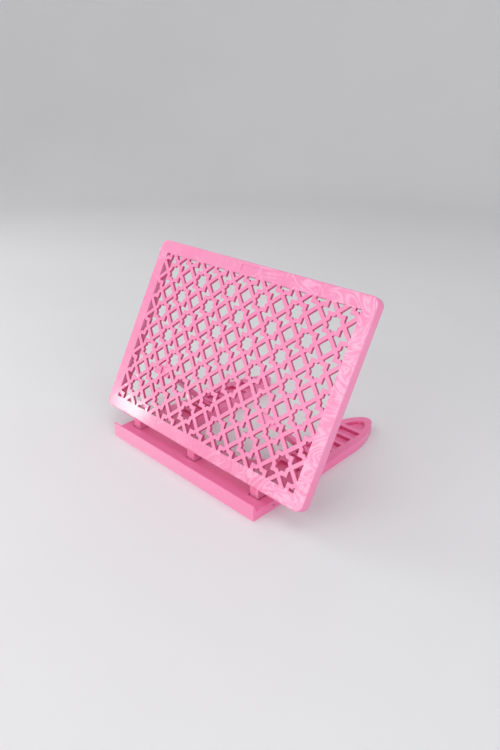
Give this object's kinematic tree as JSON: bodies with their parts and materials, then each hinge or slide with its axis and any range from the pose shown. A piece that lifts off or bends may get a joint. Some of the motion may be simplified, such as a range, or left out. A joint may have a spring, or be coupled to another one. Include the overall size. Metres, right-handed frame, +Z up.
{
  "type": "quran stand",
  "caption": "Folding book stand: a pierced lattice reading board hinged to a flat two-armed base frame and held up by folding prop legs that stand in slots.",
  "frame": {"origin": "middle of the bounding box's footprint, on the surface the base frame lies on", "axes": "+X along the ledge, +Y from the ledge towards the back, +Z up"},
  "size_m": [0.325, 0.2392, 0.2138],
  "materials": {
    "frame_plastic": "glossy pearly pink plastic with faint flow marks",
    "board_plastic": "glossy pearly pink plastic with pale flow marks",
    "leg_plastic": "glossy pink plastic",
    "rod_steel": "drawn steel wire"
  },
  "bodies": {
    "base": {"base_frame": "frame_plastic", "hinge_rod": "rod_steel"},
    "board": {"board_panel": "board_plastic", "leg_pin_left": "rod_steel", "leg_pin_right": "rod_steel"},
    "leg_left": {"prop_leg_left": "leg_plastic"},
    "leg_right": {"prop_leg_right": "leg_plastic"}
  },
  "joints": [
    {"name": "board_tilt", "type": "hinge", "parent": "base", "child": "board", "pos_m": [0, -0.0895, 0.005], "axis": [1, 0, 0], "range_deg": [-61.2, 0]},
    {"name": "leg_left_fold", "type": "hinge", "parent": "board", "child": "leg_left", "pos_m": [-0.087, -0.06141, 0.07782], "axis": [1, 0, 0], "range_deg": [0, 107.9]},
    {"name": "leg_right_fold", "type": "hinge", "parent": "board", "child": "leg_right", "pos_m": [0.087, -0.06141, 0.07782], "axis": [1, 0, 0], "range_deg": [0, 107.9]}
  ],
  "couplings": [
    {"joint": "leg_left_fold", "follows": "board_tilt", "ratio": -1.7631},
    {"joint": "leg_right_fold", "follows": "board_tilt", "ratio": -1.7631}
  ]
}
